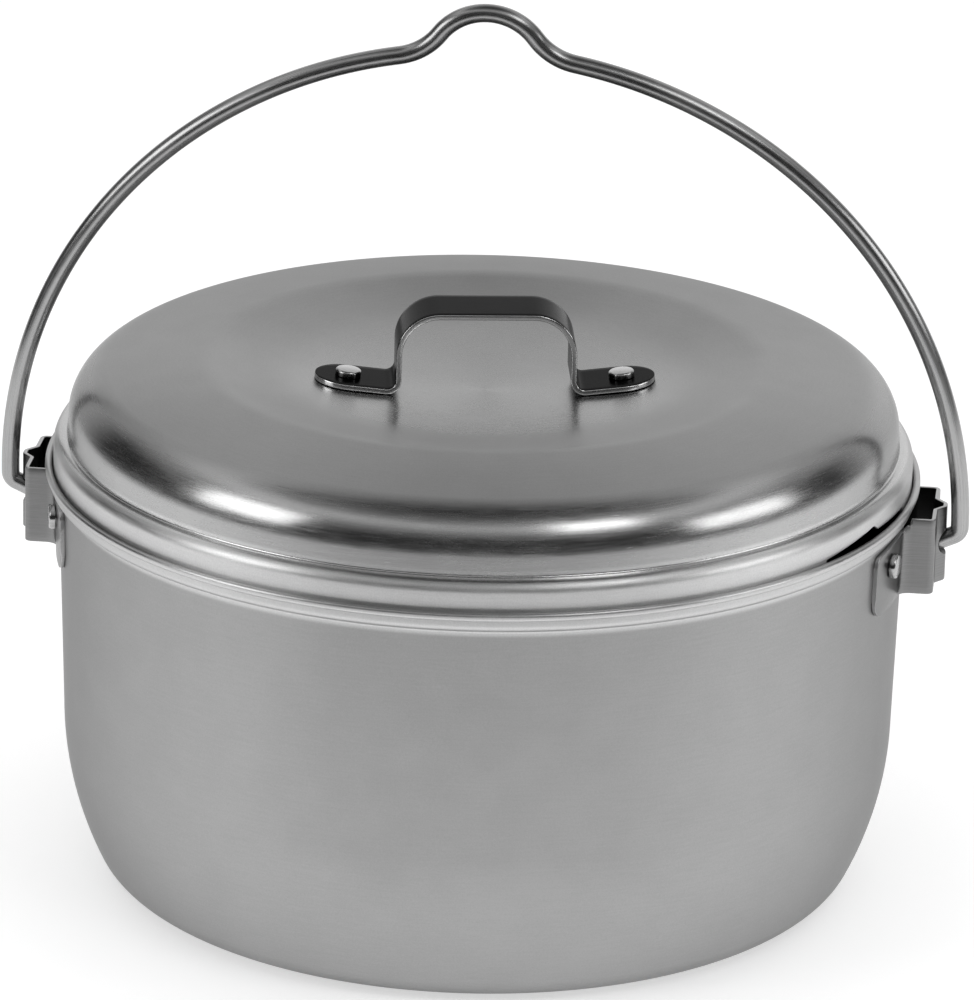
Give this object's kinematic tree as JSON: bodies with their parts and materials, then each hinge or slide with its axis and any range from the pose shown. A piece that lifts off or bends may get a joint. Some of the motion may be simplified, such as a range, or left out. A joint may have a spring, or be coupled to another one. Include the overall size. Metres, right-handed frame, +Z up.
{
  "type": "brew kettle",
  "caption": "Round metal kettle with a lift-off lid, a riveted strap handle on the lid and a hinged wire bail held in side lugs.",
  "frame": {"origin": "middle of the underside of the pot's base", "axes": "+Z up; X along the bail's hinge, from the left lug to the right lug; -Y is the front"},
  "size_m": [0.2706, 0.2426, 0.2526],
  "materials": {
    "pot_aluminium": "spun satin",
    "lid_aluminium": "spun satin",
    "handle_steel": "polished strip",
    "rivet_steel": "bright",
    "bail_wire": "bright drawn wire",
    "lug_steel": "brushed strip"
  },
  "bodies": {
    "pot": {"pot_shell": "pot_aluminium", "lug_left": "lug_steel", "lug_right": "lug_steel", "lug_left_rivet_front": "rivet_steel", "lug_left_rivet_rear": "rivet_steel", "lug_right_rivet_front": "rivet_steel", "lug_right_rivet_rear": "rivet_steel"},
    "lid": {"lid_shell": "lid_aluminium", "lid_handle": "handle_steel", "lid_handle_rivet_left": "rivet_steel", "lid_handle_rivet_right": "rivet_steel"},
    "bail": {"bail": "bail_wire"}
  },
  "joints": [
    {"name": "lid_lift", "type": "slide", "parent": "pot", "child": "lid", "axis": [0, 0, 1], "range_m": [0, 0.027]},
    {"name": "bail_swing", "type": "hinge", "parent": "pot", "child": "bail", "pos_m": [0, 0, 0.1023], "axis": [1, 0, 0], "range_deg": [-125, 115]}
  ]
}
